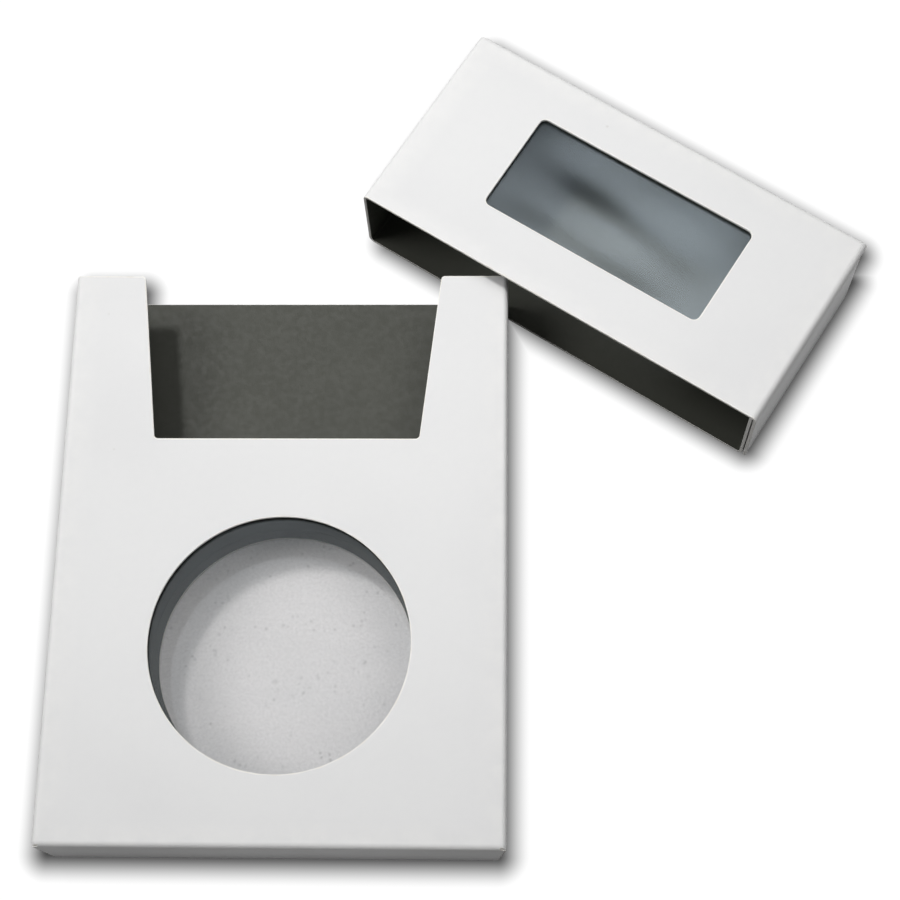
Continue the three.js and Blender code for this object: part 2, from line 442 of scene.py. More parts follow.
@dataclass
class Blank:
    """The die-cut board of one carton, lying flat: x along the section and y along the carton."""

    sizes: CartonSizes

    GRID = 3.5
    FOLD_STEPS = 7
    BORDER = 0.8
    OVERRUN = 0.5
    FLAP_OVERRUN = 0.1
    RELIEF = 0.3
    FOLD_WALL_RELIEF = 0.15
    SEAM_WALL_RELIEF = 0.5
    INNER_FLAP_TAPER = 1.0
    DUST_FLAP_TAPER = 1.6
    END_FLAP_SHORTFALL = 0.4
    SPREAD_SHARE = 0.75
    FOLD_DUST_ANGLE = math.radians(87)
    SEAM_DUST_ANGLE = math.radians(86)
    WALL_END = 0.15
    CORNER_STEP = 0.2
    BOTTOM_END = 0.4

    def __post_init__(self) -> None:
        """Prepare the section that the blank will follow, and its flaps."""
        self.section = Section(self.sizes)
        self.flaps = self.make_flaps()

    def make_flaps(self) -> dict[LegName, Flap]:
        """Set out the four flaps at the closed end.

        Returns:
            Each flap under the run that it folds from.
        """
        sizes, leg, relief = self.sizes, self.section.leg, self.RELIEF
        front, back = leg(LegName.FRONT), leg(LegName.BACK)
        fold_wall, seam_wall = leg(LegName.FOLD_WALL), leg(LegName.SEAM_WALL)
        outer_reach = sizes.thickness - sizes.crease_radius - self.END_FLAP_SHORTFALL
        inner_reach = sizes.thickness - 2 * sizes.crease_radius - sizes.layer_step
        dust_face, dust_reach = sizes.dust_face, sizes.dust_flap_reach
        return {
            LegName.FRONT: Flap(
                front, 0.0, front.start, front.end, outer_reach, sizes.end_flap_taper,
                spread=sizes.bend_length * self.SPREAD_SHARE,
            ),
            LegName.BACK: Flap(
                back, sizes.layer_step, back.start + relief, back.end - relief, inner_reach, self.INNER_FLAP_TAPER
            ),
            LegName.FOLD_WALL: Flap(
                fold_wall, dust_face, fold_wall.start + self.FOLD_WALL_RELIEF, fold_wall.end - relief, dust_reach,
                self.DUST_FLAP_TAPER, self.FOLD_DUST_ANGLE,
            ),
            LegName.SEAM_WALL: Flap(
                seam_wall, dust_face, seam_wall.start + relief, seam_wall.end - self.SEAM_WALL_RELIEF, dust_reach,
                self.DUST_FLAP_TAPER, self.SEAM_DUST_ANGLE,
            ),
        }

    def corner_share(self, along: float) -> float:
        """Tell how far the board beside the front panel turns down with its end flap.

        Args:
            along: distance along the board across the carton.

        Returns:
            1 by the front panel, fading over the fold beside it to 0 by the side wall.
        """
        front = self.section.leg(LegName.FRONT)
        beside = max(front.start - along, along - front.end, 0.0)
        return max(1 - beside / self.sizes.bend_length, 0.0)

    def mouth_cuts(self) -> list[Corner]:
        """Corners of what is cut into the mouth edge, in the order of the section."""
        return []

    def holes(self) -> list[list[FlatPoint]]:
        """Outlines of the windows."""
        return []

    def corners(self) -> list[Corner]:
        """Corners of the whole blank.

        Returns:
            The mouth edge first, and then the closed end with its flaps.
        """
        sizes, section, flaps = self.sizes, self.section, self.flaps
        seam_flap, back, fold_wall, front, seam_wall = section.legs
        dust_start = flaps[LegName.FOLD_WALL].bend_start(sizes)
        wall_end, corner_step = self.WALL_END, self.CORNER_STEP
        bottom_end = sizes.layer_step + self.BOTTOM_END
        seam_flap_start = sizes.dust_face + 2 * sizes.board
        return [
            (0.0, sizes.depth, 0.0),
            *self.mouth_cuts(),
            (section.end, sizes.depth, 0.0),
            (section.end, dust_start, 0.0),
            *flaps[LegName.SEAM_WALL].corners(sizes),
            (seam_wall.start, dust_start, 0.0),
            (seam_wall.start, wall_end, 0.0),
            (front.end, wall_end + corner_step, 0.0),
            *flaps[LegName.FRONT].corners(sizes)[1:-1],
            (front.start, wall_end + corner_step, 0.0),
            (fold_wall.end, wall_end, 0.0),
            (fold_wall.end, dust_start, 0.0),
            *flaps[LegName.FOLD_WALL].corners(sizes),
            (fold_wall.start, dust_start, 0.0),
            (fold_wall.start, bottom_end, 0.0),
            (back.end, bottom_end + corner_step, 0.0),
            *flaps[LegName.BACK].corners(sizes),
            (back.start, flaps[LegName.BACK].bend_start(sizes), 0.0),
            (seam_flap.end, seam_flap_start, 0.0),
            (0.0, seam_flap_start + sizes.seam_flap_slant, 0.0),
        ]

    def crease_lines(self) -> list[Span]:
        """Lines along which the board bends, so that its triangles follow the folds.

        Returns:
            The two ends of each line.
        """
        sizes, steps, over = self.sizes, self.FOLD_STEPS, self.FLAP_OVERRUN
        lines: list[Span] = []
        for leg in self.section.legs[:-1]:
            for i in range(steps + 1):
                along = leg.end + sizes.bend_length * i / steps
                lines.append(((along, -self.OVERRUN), (along, sizes.depth + self.OVERRUN)))
        for flap in self.flaps.values():
            start = flap.bend_start(sizes)
            length = sizes.bend_length * flap.angle / (math.pi / 2)
            for i in range(steps + 1):
                y = start - length * i / steps
                lines.append(((flap.low - flap.spread - over, y), (flap.high + flap.spread + over, y)))
        return lines

    def grid(self, loops: Sequence[Sequence[FlatPoint]]) -> np.ndarray:
        """Spread points over the panels, so that they can bow.

        Args:
            loops: the outline and the windows, which the points keep clear of.

        Returns:
            The points, one to a row.
        """
        points = []
        for leg in self.section.legs:
            across = max(2, round(leg.length / self.GRID))
            along = round(self.sizes.depth / self.GRID)
            xs = np.linspace(leg.start, leg.end, across + 1)[1:-1]
            ys = np.linspace(0, self.sizes.depth, along + 1)[1:-1]
            points.extend((x, y) for x in xs for y in ys)
        points = np.array(points)
        keep = inside(points, loops[0])
        for hole in loops[1:]:
            keep &= ~inside(points, hole)
        for loop in loops:
            keep &= distance_to(points, loop) > self.BORDER
        return points[keep]

    def flatten(self) -> FlatBoard:
        """Cut the blank into triangles.

        Returns:
            The flat board.
        """
        loops = [outline(self.corners()), *self.holes()]
        places: list[FlatPoint] = []
        edges: list[tuple[int, int]] = []
        for loop in loops:
            first = len(places)
            places.extend(loop)
            edges.extend((first + i, first + (i + 1) % len(loop)) for i in range(len(loop)))
        for line in self.crease_lines():
            edges.append((len(places), len(places) + 1))
            places.extend(line)
        places.extend(map(tuple, self.grid(loops)))
        made = delaunay_2d_cdt([Vector(p) for p in places], edges, [], 0, 1e-5)
        points = np.array([tuple(p) for p in made[0]])
        triangles = np.array([tuple(face) for face in made[2]])
        middles = points[triangles].mean(axis=1)
        keep = inside(middles, loops[0])
        for hole in loops[1:]:
            keep &= ~inside(middles, hole)
        triangles = triangles[keep]
        a, b, c = (points[triangles[:, i]] for i in range(3))
        area = (b[:, 0] - a[:, 0]) * (c[:, 1] - a[:, 1]) - (b[:, 1] - a[:, 1]) * (c[:, 0] - a[:, 0])
        triangles[area < 0] = triangles[area < 0][:, ::-1]
        used = np.unique(triangles)
        numbers = np.full(len(points), -1)
        numbers[used] = np.arange(len(used))
        triangles = numbers[triangles]
        sides = [(int(t[i]), int(t[(i + 1) % 3])) for t in triangles for i in range(3)]
        count = Counter(tuple(sorted(side)) for side in sides)
        cut = [side for side in sides if count[tuple(sorted(side))] == 1]
        return FlatBoard(points[used], triangles, cut)


@dataclass(frozen=True)
class FingerNotch:
    """The notch in the base's mouth edge, by the ears that stand beside it."""

    fold_side_ear: float = 9.9
    seam_side_ear: float = 9.5
    slope: float = 2.8
    floor: float = 56.5
    floor_radius: float = 0.6
    ear_radius: float = 0.55


@dataclass(frozen=True)
class RoundWindow:
    """The round window in the front panel, and the one in line with it in the back panel."""

    x: float = 0.35
    y: float = 27.3
    radius: float = 17.75
    steps: int = 144


@dataclass(frozen=True)
class CapWindow:
    """The rectangular window in the cap's front panel, by the board left round it."""

    fold_side: float = 15.25
    seam_side: float = 14.45
    end: float = 7.3
    mouth: float = 8.3
    radius: float = 1.0


@dataclass
class BaseBlank(Blank):
    """The base's blank, with a finger notch and two round windows."""

    notch: FingerNotch
    window: RoundWindow

    def mouth_cuts(self) -> list[Corner]:
        """Set out the finger notch.

        Returns:
            Its corners.
        """
        notch, half, depth = self.notch, self.sizes.width / 2, self.sizes.depth
        front = self.section.leg(LegName.FRONT)
        left = front.along(-half + notch.fold_side_ear, self.sizes.thickness)
        right = front.along(half - notch.seam_side_ear, self.sizes.thickness)
        return [
            (left, depth, notch.ear_radius),
            (left + notch.slope, notch.floor, notch.floor_radius),
            (right - notch.slope, notch.floor, notch.floor_radius),
            (right, depth, notch.ear_radius),
        ]

    def window_sides(self) -> WindowSides:
        """Edges of the square round the window: low x, high x, low y, high y."""
        x, y, radius = self.window.x, self.window.y, self.window.radius
        return x - radius, x + radius, y - radius, y + radius

    def holes(self) -> list[list[FlatPoint]]:
        """Set out both round windows.

        Returns:
            Their outlines.
        """
        window = self.window
        front = self.section.leg(LegName.FRONT).along(window.x, self.sizes.thickness)
        back = self.section.leg(LegName.BACK).along(window.x, 0)
        return [arc((x, window.y), window.radius, 0, 2 * math.pi, window.steps)[:-1] for x in (front, back)]


@dataclass
class CapBlank(Blank):
    """The cap's blank, with a rectangular window."""

    window: CapWindow

    def window_sides(self) -> WindowSides:
        """The window's edges in the carton's own place: low x, high x, low y, high y."""
        window, half = self.window, self.sizes.width / 2
        return -half + window.fold_side, half - window.seam_side, window.end, self.sizes.depth - window.mouth

    def holes(self) -> list[list[FlatPoint]]:
        """Set out the window.

        Returns:
            Its outline, alone in a list.
        """
        left, right, low, high = self.window_sides()
        front = self.section.leg(LegName.FRONT)
        left, right = (front.along(x, self.sizes.thickness) for x in (left, right))
        radius = self.window.radius
        return [outline([(left, low, radius), (right, low, radius), (right, high, radius), (left, high, radius)])]


@dataclass(frozen=True)
class Place:
    """Where a carton lies: its own millimetres to metres in the frame, mirrored where its seam is at low x."""

    matrix: Matrix
    mirrored: bool

    def put(self, x: float, y: float, z: float) -> Vector:
        """Carry one point of the carton to the frame."""
        return self.matrix @ (Vector((-x if self.mirrored else x, y, z)) * MM)

    def mesh(self, name: str, points: Iterable[Sequence[float]], faces: Iterable[Sequence[int]]) -> bpy.types.Mesh:
        """Make a mesh, with its faces turned over where the carton is mirrored.

        Args:
            name: name of the mesh.
            points: its points in the frame.
            faces: the numbers of each face's points.

        Returns:
            The mesh.
        """
        order = -1 if self.mirrored else 1
        mesh = bpy.data.meshes.new(name)
        mesh.from_pydata([tuple(p) for p in points], [], [tuple(int(i) for i in f[::order]) for f in faces])
        return mesh

    @classmethod
    def of_base(cls, sizes: CartonSizes) -> "Place":
        """Find the base's place from its resting face and its front panel.

        Args:
            sizes: the base's sizes.

        Returns:
            The place, leant up towards the mouth as the resting face is.
        """
        mount = next(m for m in frame["record"]["mounts"] if m["name"] == "base_rest")
        lean = math.atan2(mount["axis"][1], -mount["axis"][2])
        low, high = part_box("base_front_panel")
        y = low[1] + sizes.thickness * MM * math.sin(lean)
        origin = Vector(((low[0] + high[0]) / 2, y, 0))
        return cls(Matrix.Translation(origin) @ Matrix.Rotation(lean, 4, "X"), sizes.mirrored)

    @classmethod
    def of_cap(cls, sizes: CartonSizes) -> "Place":
        """Find the cap's place from the way it pulls off and from its front panel.

        Args:
            sizes: the cap's sizes.

        Returns:
            The place, turned so that its mouth faces against the pull.
        """
        joint = next(j for j in frame["record"]["behaviour"]["joints"] if j["name"] == "cap_pull")
        pull = Vector(joint["axis"])
        turn = Matrix.Rotation(math.atan2(pull.x, -pull.y), 4, "Z")
        low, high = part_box("cap_front_panel")
        middle = (Vector(low) + Vector(high)) / 2
        panel_middle = Vector((0, sizes.depth / 2, 0)) * MM
        origin = Vector((middle.x, middle.y, 0)) - turn @ panel_middle
        return cls(Matrix.Translation(origin) @ turn, sizes.mirrored)


@dataclass(frozen=True)
class FoldedCarton:
    """One blank folded into its carton: two skins of board, and the raw edges between them."""

    blank: Blank
    place: Place
    bows: Sequence[Bow]

    CUT_INSET = 0.16
    CUT_DROP = 0.03
    INNER_INSET = 0.05
    INNER_DROP = 0.04
    NICKS = 0.35
    FLAT_END = 6.0
    SCUFF_AND_HIGHLIGHT_WIDTH = 0.5
    SHARP_ANGLE = math.radians(24)

    def stand_out(self, along: float, y: float) -> float:
        """Find how far a panel stands out of its plane.

        Args:
            along: distance along the board across the carton.
            y: height along the carton.

        Returns:
            Millimetres outward, none at the creases.
        """
        depth = self.blank.sizes.depth
        for bow in self.bows:
            leg = self.blank.section.leg(bow.leg)
            if leg.start < along < leg.end:
                share = (along - leg.start) / leg.length
                towards_mouth = min(max(y / depth, 0.0), 1.0)
                height = bow.height + (bow.mouth_height - bow.height) * towards_mouth**3
                ripple = bow.wave * math.sin(5.1 * share + 0.13 * y) * math.cos(0.21 * y + 2.0 * share)
                near_end = min(max(y / self.FLAT_END, 0.0), 1.0)
                return (height + ripple) * math.sin(math.pi * share) * near_end
        return 0.0

    def fold(self, along: float, y: float, depth: float) -> Vector:
        """Carry a point of the flat blank to its place in the folded carton.

        Args:
            along: distance along the board across the carton.
            y: height along the carton, less than a flap's fold on that flap.
            depth: distance in from the outer skin.

        Returns:
            The point in the frame.
        """
        sizes = self.blank.sizes
        depth -= self.stand_out(along, y)
        flap = next((f for f in self.blank.flaps.values() if f.holds(sizes, along, y)), None)
        if flap is None:
            outer, normal = self.blank.section.at(along)
            start = self.blank.flaps[LegName.FRONT].bend_start(sizes)
            share, most = self.blank.corner_share(along), math.pi / 2
        else:
            outer, normal = flap.leg.at(along), Vector(flap.leg.normal)
            start = flap.bend_start(sizes)
            share, most = 1.0, flap.angle
        radius = sizes.crease_radius
        middle_radius = radius - sizes.board / 2
        angle = share * min(max(start - y, 0.0) / middle_radius, most)
        past = start - y - angle * middle_radius
        cosine, sine = math.cos(angle), math.sin(angle)
        out = (radius - depth) * cosine - past * sine - radius
        back = (radius - depth) * sine + past * cosine
        place = outer + normal * out
        return self.place.put(place.x, start - back, place.y)

    def inward(self, board: FlatBoard) -> dict[int, np.ndarray]:
        """Find the way into the board at each point of a cut edge.

        Args:
            board: the flat board.

        Returns:
            For each such point, a vector that moves both its edges in by one.
        """
        sides: dict[int, list[np.ndarray]] = {}
        for a, b in board.cut_edges:
            run = board.points[b] - board.points[a]
            way = np.array([-run[1], run[0]]) / max(np.linalg.norm(run), 1e-9)
            sides.setdefault(a, []).append(way)
            sides.setdefault(b, []).append(way)
        result = {}
        for point, ways in sides.items():
            total = np.sum(ways, axis=0)
            length = np.linalg.norm(total)
            unit = total / max(length, 1e-9)
            result[point] = unit / max(float(unit @ ways[0]), 0.6)
        return result

    def scuff_and_highlight_amount(self, along: float) -> float:
        """Find how far a place on the outer skin is lightened at the folds, as real scuffing and as a painted
        crease highlight.

        Args:
            along: distance along the board across the carton.

        Returns:
            1 on a fold, fading beside it.
        """
        sizes, section = self.blank.sizes, self.blank.section
        nearest = min(
            max(leg.end - along, along - leg.end - sizes.bend_length, 0.0) for leg in section.legs[:-1]
        )
        return math.exp(-((nearest / self.SCUFF_AND_HIGHLIGHT_WIDTH) ** 2))

    def build(self, name: str) -> bpy.types.Object:
        """Make the folded board.

        Args:
            name: name of the piece.

        Returns:
            The piece, linked to the scene.
        """
        board = self.blank.flatten()
        inward = self.inward(board)
        thickness = self.blank.sizes.board
        count = len(board.points)
        rim = {point: i for i, point in enumerate(inward)}
        skins = []
        for inset, depth in ((self.CUT_INSET, 0.0), (self.INNER_INSET, thickness)):
            for i, (along, y) in enumerate(board.points):
                if i in inward:
                    nick = math.sin(1.7 * along + 0.9 * y) * math.sin(0.8 * y - 0.6 * along)
                    along, y = (along, y) + inward[i] * inset * (1 + self.NICKS * nick)
                skins.append(self.fold(along, y, depth))
        rings = []
        for depth in (self.CUT_DROP, thickness - self.INNER_DROP):
            rings.extend(self.fold(*board.points[point], depth) for point in inward)
        first_ring = 2 * count
        second_ring = first_ring + len(rim)
        faces: list[Face] = []
        slots: list[int] = []
        for a, b, c in board.triangles:
            faces.append((a, b, c))
            slots.append(BoardSlot.COATED.value)
            faces.append((c + count, b + count, a + count))
            slots.append(BoardSlot.PRINTED.value)
        for a, b in board.cut_edges:
            high_a, high_b = first_ring + rim[a], first_ring + rim[b]
            low_a, low_b = second_ring + rim[a], second_ring + rim[b]
            faces.append((b, a, high_a, high_b))
            faces.append((high_b, high_a, low_a, low_b))
            faces.append((low_b, low_a, a + count, b + count))
            slots.extend([BoardSlot.CUT.value] * 3)
        mesh = self.place.mesh(name, skins + rings, faces)
        mesh.polygons.foreach_set("material_index", slots)
        # How near each point lies to a fold: the board is lightened there, as scuffing and as a painted crease
        # highlight.
        scuff_and_highlight_amount = [self.scuff_and_highlight_amount(along) for along, _ in board.points]
        scuff_and_highlight_mask = mesh.attributes.new("scuff_and_highlight_mask", "FLOAT", "POINT")
        scuff_and_highlight_mask.data.foreach_set("value", scuff_and_highlight_amount * 2 + [0.0] * len(rings))
        mesh.shade_smooth()
        mesh.set_sharp_from_angle(angle=self.SHARP_ANGLE)
        self.sharpen_cuts(mesh)
        return add_object(name, mesh)

    def sharpen_cuts(self, mesh: bpy.types.Mesh) -> None:
        """Mark the edges at which one finish meets another as sharp.

        Args:
            mesh: the folded board's mesh.
        """
        slots: dict[tuple[int, int], set[int]] = {}
        for polygon in mesh.polygons:
            for key in polygon.edge_keys:
                slots.setdefault(key, set()).add(polygon.material_index)
        for edge in mesh.edges:
            if len(slots[edge.key]) > 1:
                edge.use_edge_sharp = True


@dataclass(frozen=True)
class SeamGlue:
    """The glue line pressed between the seam wall and the seam flap, in millimetres."""

    end_inset: float = 6.0
    edge_inset: float = 1.6
    clearance: float = 0.005
    wander: float = 0.35
    stations: int = 48

    def build(self, name: str, sizes: CartonSizes, place: Place) -> bpy.types.Object:
        """Make the glue line, with the uneven edge that pressing gives it.

        Args:
            name: name of the piece.
            sizes: sizes of the carton that it holds together.
            place: where that carton lies.

        Returns:
            The piece, linked to the scene.
        """
        inner = sizes.seam_flap_face + self.clearance
        outer = sizes.width / 2 - sizes.board - self.clearance
        low = sizes.layer_step + self.edge_inset
        high = sizes.seam_flap_top - self.edge_inset
        points = []
        for y in np.linspace(sizes.dust_face + self.end_inset, sizes.depth - self.end_inset, self.stations + 1):
            edge_low = low + self.wander * math.sin(0.9 * y) * math.cos(0.37 * y)
            edge_high = high + self.wander * math.sin(0.7 * y + 1.3) * math.cos(0.29 * y)
            for x, z in ((inner, edge_low), (inner, edge_high), (outer, edge_high), (outer, edge_low)):
                points.append(place.put(x, y, z))
        faces: list[Face] = [(0, 1, 2, 3)]
        for i in range(self.stations):
            a, b = 4 * i, 4 * i + 4
            faces.extend((a + k, b + k, b + (k + 1) % 4, a + (k + 1) % 4) for k in range(4))
        last = 4 * self.stations
        faces.append((last + 3, last + 2, last + 1, last))
        return add_object(name, place.mesh(name, points, faces))


def add_object(name: str, data: bpy.types.ID) -> bpy.types.Object:
    """Put a new object in the scene.

    Args:
        name: name of the object.
        data: its mesh, lamp or camera.

    Returns:
        The object.
    """
    if isinstance(data, bpy.types.Mesh):
        data.update()
    made = bpy.data.objects.new(name, data)
    bpy.context.scene.collection.objects.link(made)
    return made


class NodeOwner(Enum):
    """What a tree of nodes belongs to."""

    MATERIAL = "Material"
    WORLD = "World"


class NodeTree:
    """A short way to lay out the nodes of a material or of the world."""

    def __init__(self, name: str, kind: NodeOwner = NodeOwner.MATERIAL) -> None:
        """Make an empty material or world with its output.

        Args:
            name: its name.
            kind: which of the two it is.
        """
        owners = bpy.data.worlds if kind is NodeOwner.WORLD else bpy.data.materials
        self.owner = owners.new(name)
        self.owner.use_nodes = True
        self.tree = self.owner.node_tree
        self.tree.nodes.clear()
        self.output = self.add(f"Output{kind.value}")

    def add(self, kind: str, settings: dict | None = None, **sockets: object) -> bpy.types.Node:
        """Add a node.

        Args:
            kind: the node's type, without its ShaderNode prefix.
            settings: properties of the node.
            sockets: input values, or outputs to join to them, with _ for each space in a name.

        Returns:
            The node.
        """
        node = self.tree.nodes.new(f"ShaderNode{kind}")
        for key, value in (settings or {}).items():
            setattr(node, key, value)
        for key, value in sockets.items():
            self.plug(node, key.replace("_", " "), value)
        return node

    def plug(self, node: bpy.types.Node, key: str, value: object) -> None:
        """Set or join one input.

        Args:
            node: the node.
            key: the input's name or, as in "at 1", its place.
            value: its value, or the output to join to it.
        """
        socket = node.inputs[int(key[3:])] if key.startswith("at ") else node.inputs[key]
        if isinstance(value, Socket):
            self.tree.links.new(value, socket)
        else:
            socket.default_value = value

    def place(self, scale: tuple[float, float, float] = (1, 1, 1)) -> Socket:
        """Coordinates that ride on the piece, in metres, stretched by a scale."""
        coordinates = self.add("TexCoord").outputs["Object"]
        return self.add("Mapping", at_0=coordinates, at_3=scale).outputs["Vector"]

    def noise(self, scale: float, detail: float = 2.0, place: object = None) -> Socket:
        """Smooth noise from 0 to 1 with so many features to the metre."""
        vector = place or self.place()
        return self.add("TexNoise", Vector=vector, Scale=scale, Detail=detail).outputs["Fac"]

    def remap(self, value: object, low: float, high: float, to_low: float, to_high: float) -> object:
        """Carry one range of values to another, held at its ends."""
        values = {f"at_{i}": item for i, item in enumerate((value, low, high, to_low, to_high))}
        return self.add("MapRange", **values).outputs["Result"]

    def mix(self, share: object, low: object, high: object) -> Socket:
        """Blend two colours."""
        return self.add("MixRGB", Fac=share, Color1=low, Color2=high).outputs["Color"]

    def math(self, operation: str, a: object, b: object = 0.0) -> Socket:
        """Do a sum on two values."""
        return self.add("Math", {"operation": operation}, at_0=a, at_1=b).outputs["Value"]

    def vector(self, operation: str, a: object, b: object, output: str = "Vector") -> Socket:
        """Do a sum on two vectors."""
        return self.add("VectorMath", {"operation": operation}, at_0=a, at_1=b).outputs[output]

    def grey(self, level: object) -> Socket:
        """A grey of the given level."""
        return self.add("CombineColor", Red=level, Green=level, Blue=level).outputs[0]

    def shader(self, kind: str, **sockets: object) -> Socket:
        """Output of a new shader node."""
        return self.add(kind, **sockets).outputs[0]

    def bump(self, height: object, distance: float, strength: float, normal: object = None) -> object:
        """Turn a height into a bumped normal, over another one if it is given."""
        under = {} if normal is None else {"Normal": normal}
        return self.add("Bump", Height=height, Distance=distance, Strength=strength, **under).outputs["Normal"]

    def finish(self, surface: Socket) -> bpy.types.Material | bpy.types.World:
        """Join a shader to the output and hand over the material or world."""
        self.tree.links.new(surface, self.output.inputs["Surface"])
        return self.owner

    def dress(
        self, colour: object, roughness: object, normal: object, ior: float, **coat: float
    ) -> bpy.types.Material:
        """Finish a material of board, ink or glue.

        Args:
            colour: its colour.
            roughness: its roughness.
            normal: its bumps.
            ior: how strongly it mirrors.
            coat: values of a clear coat, if it has one.

        Returns:
            The material.
        """
        look = self.shader("BsdfPrincipled", Base_Color=colour, Roughness=roughness, Normal=normal, IOR=ior, **coat)
        return self.finish(look)


@dataclass(frozen=True)
class CoatedBoard:
    """White board with a thin gloss coat: faint mottling, dimples, stray fibres, and folds scuffed lighter, partly
    real scuffing and partly a painted highlight along each crease.

    In this and the other finishes, scales are features to the metre and heights are metres.
    """

    white: Colour = (0.845, 0.845, 0.843, 1)
    shade: Colour = (0.80, 0.80, 0.805, 1)
    speck: Colour = (0.62, 0.61, 0.58, 1)
    # Lighter colour on the folds: real scuffing and a painted highlight along each crease.
    scuff_and_highlight: Colour = (0.93, 0.925, 0.91, 1)
    mottle_scale: float = 55
    mottle_share: float = 0.28
    grain_scale: float = 900
    grain_share: float = 0.16
    speck_scale: float = 170
    speck_share: float = 0.4
    scuff_and_highlight_scale: float = 420
    scuff_and_highlight_share: float = 0.55
    rubbed_roughness: float = 0.12
    roughness: Pair = (0.46, 0.56)
    dimple_scale: float = 95
    dimple_height: float = 0.00004
    tooth_scale: float = 1500
    tooth_height: float = 0.00002
    swell_scale: float = 110
    swell_height: float = 0.00006
    coat: float = 0.1
    coat_roughness: float = 0.4
    ior: float = 1.5

    def build(self) -> bpy.types.Material:
        """Lay out the material.

        Returns:
            The material.
        """
        nodes = NodeTree("coated_board")
        place = nodes.place()
        mottle = nodes.noise(self.mottle_scale, 3, place)
        colour = nodes.mix(nodes.remap(mottle, 0.42, 0.72, 0, self.mottle_share), self.white, self.shade)
        grain = nodes.noise(self.grain_scale, 2, place)
        colour = nodes.mix(nodes.remap(grain, 0.35, 0.75, 0, self.grain_share), colour, self.shade)
        cells = nodes.add("TexVoronoi", Vector=place, Scale=self.speck_scale, Randomness=1)
        speck = nodes.remap(cells.outputs["Distance"], 0.018, 0.05, self.speck_share, 0)
        chosen = nodes.remap(nodes.noise(41, 0, place), 0.56, 0.6, 0, 1)
        colour = nodes.mix(nodes.math("MULTIPLY", speck, chosen), colour, self.speck)
        # Folds turn lighter in patches: partly real scuffing, partly a painted crease highlight.
        patches = nodes.remap(nodes.noise(self.scuff_and_highlight_scale, 4, place), 0.35, 0.65, 0.35, 1)
        scuff_and_highlight_mask = nodes.add("Attribute", {"attribute_name": "scuff_and_highlight_mask"}).outputs["Fac"]
        scuff_and_highlight_amount = nodes.math("MULTIPLY", scuff_and_highlight_mask, patches)
        colour = nodes.mix(nodes.math("MULTIPLY", scuff_and_highlight_amount, self.scuff_and_highlight_share), colour, self.scuff_and_highlight)
        roughness = nodes.remap(mottle, 0.3, 0.7, *self.roughness)
        roughness = nodes.math("ADD", roughness, nodes.math("MULTIPLY", scuff_and_highlight_amount, self.rubbed_roughness))
        soft_cells = {"feature": "SMOOTH_F1"}
        dimples = nodes.add("TexVoronoi", soft_cells, Vector=place, Scale=self.dimple_scale, Smoothness=0.6)
        dimple = nodes.remap(dimples.outputs["Distance"], 0.0, 0.2, 0, 1)
        normal = nodes.bump(dimple, self.dimple_height, 0.35)
        normal = nodes.bump(nodes.noise(self.tooth_scale, 2, place), self.tooth_height, 0.16, normal)
        normal = nodes.bump(nodes.noise(self.swell_scale, 2, place), self.swell_height, 0.3, normal)
        coat = {"Coat_Weight": self.coat, "Coat_Roughness": self.coat_roughness}
        return nodes.dress(colour, roughness, normal, self.ior, **coat)


@dataclass(frozen=True)
class PrintedInside:
    """Dark grey ink on the uncoated inner side of the board, a little uneven, with fibres under it."""

    ink: Colour = (0.055, 0.057, 0.045, 1)
    thin_ink: Colour = (0.073, 0.075, 0.061, 1)
    patch_scale: float = 70
    patch_share: float = 0.5
    fibre_scale: float = 1300
    fibre_share: float = 0.25
    fibre_height: float = 0.00002
    roughness: Pair = (0.52, 0.66)
    ior: float = 1.45

    def build(self) -> bpy.types.Material:
        """Lay out the material.

        Returns:
            The material.
        """
        nodes = NodeTree("printed_inside")
        place = nodes.place()
        patches = nodes.noise(self.patch_scale, 4, place)
        fibres = nodes.noise(self.fibre_scale, 3, place)
        colour = nodes.mix(nodes.remap(patches, 0.35, 0.7, 0, self.patch_share), self.ink, self.thin_ink)
        colour = nodes.mix(nodes.remap(fibres, 0.6, 0.8, 0, self.fibre_share), colour, self.thin_ink)
        roughness = nodes.remap(fibres, 0.3, 0.7, *self.roughness)
        return nodes.dress(colour, roughness, nodes.bump(fibres, self.fibre_height, 0.12), self.ior)


@dataclass(frozen=True)
class CutEdge:
    """The raw cream core of the board where the die cut it, with its layers of fibre."""

    cream: Colour = (0.985, 0.975, 0.945, 1)
    shadow: Colour = (0.86, 0.82, 0.73, 1)
    layer_scale: float = 900
    layer_stretch: Point = (1, 1, 5)
    layer_share: float = 0.55
    fuzz_scale: float = 2600
    fuzz_height: float = 0.00004
    roughness: Pair = (0.8, 0.95)
    ior: float = 1.4

    def build(self) -> bpy.types.Material:
        """Lay out the material.

        Returns:
            The material.
        """
        nodes = NodeTree("cut_edge")
        layers = nodes.noise(self.layer_scale, 3, nodes.place(self.layer_stretch))
        fuzz = nodes.noise(self.fuzz_scale, 2)
        colour = nodes.mix(nodes.remap(layers, 0.4, 0.7, 0, self.layer_share), self.cream, self.shadow)
        roughness = nodes.remap(fuzz, 0.3, 0.7, *self.roughness)
        return nodes.dress(colour, roughness, nodes.bump(fuzz, self.fuzz_height, 0.5), self.ior)


